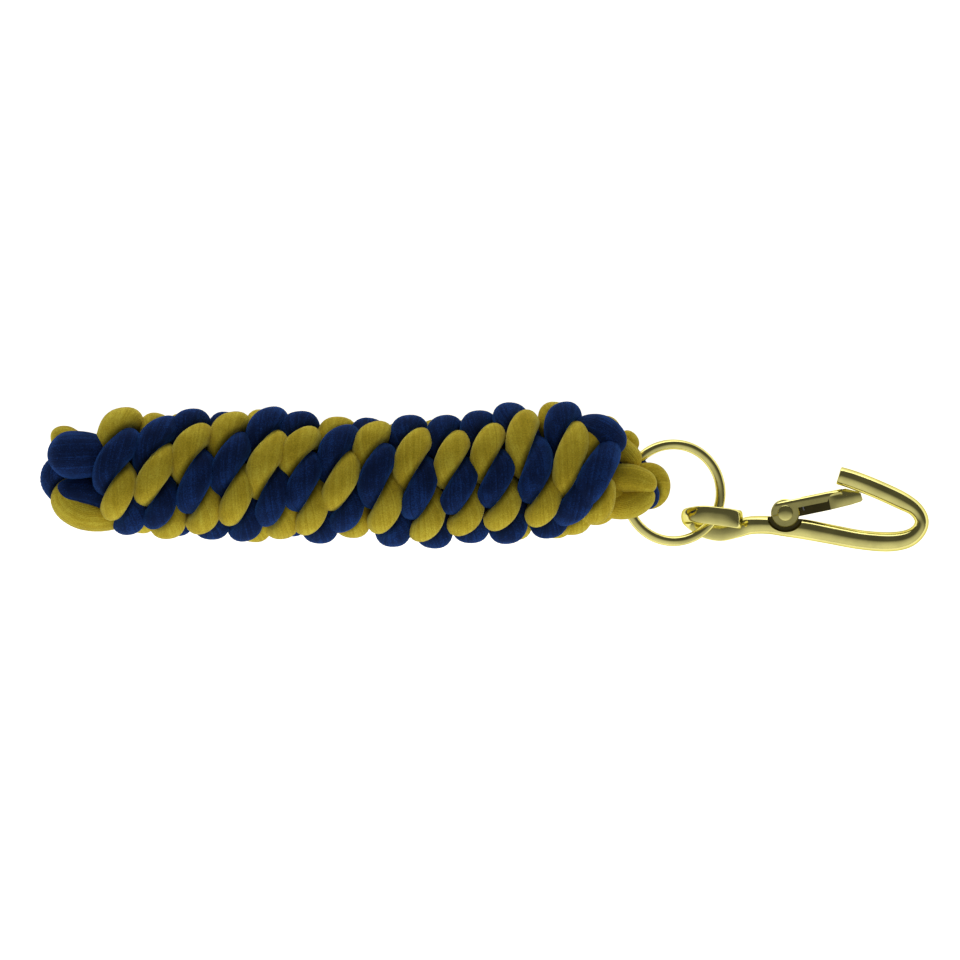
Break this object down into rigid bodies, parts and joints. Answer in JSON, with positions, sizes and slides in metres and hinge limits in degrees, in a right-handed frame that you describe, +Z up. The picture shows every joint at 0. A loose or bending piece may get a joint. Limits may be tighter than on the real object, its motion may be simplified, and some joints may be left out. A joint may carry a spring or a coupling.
{
  "type": "lead rope",
  "caption": "Two-colour twisted cotton lead rope wound into a hank, with a closed brass ring and a brass snap hook with a sprung gate.",
  "frame": {"origin": "middle of the overall box, on the surface that the coiled rope lies on", "axes": "+X along the hank towards the snap hook, +Z up from the surface"},
  "size_m": [0.3541, 0.0547, 0.052],
  "materials": {
    "cotton_blue": "soft twisted cotton yarn, royal blue",
    "cotton_yellow": "soft twisted cotton yarn, golden yellow",
    "ring_brass": "polished wire",
    "hook_brass": "polished casting",
    "gate_brass": "polished folded sheet",
    "rivet_brass": "polished dome",
    "spring_steel": "bright leaf spring"
  },
  "bodies": {
    "rope": {"rope_hank": "cotton_blue", "rope_bight": "cotton_blue", "rope_eye": "cotton_yellow"},
    "ring": {"ring": "ring_brass"},
    "hook": {"hook_body": "hook_brass", "gate_rivet": "rivet_brass"},
    "gate": {"gate": "gate_brass", "gate_spring": "spring_steel"}
  },
  "joints": [
    {"name": "ring_swing", "type": "hinge", "parent": "rope", "child": "ring", "pos_m": [0.0562, -0.0039, 0.017], "axis": [0, 1, 0], "range_deg": [-60, 60]},
    {"name": "hook_swing", "type": "hinge", "parent": "ring", "child": "hook", "pos_m": [0.09054, -0.01497, 0.0097], "axis": [0.561, 0.8192, -0.1193], "range_deg": [-120, 120]},
    {"name": "gate_hinge", "type": "hinge", "parent": "hook", "child": "gate", "pos_m": [0.1198, -0.012, 0.004], "axis": [0, 0, -1], "range_deg": [0, 15], "stiffness_Nm_per_rad": 0.6, "springref_deg": -17.19}
  ]
}
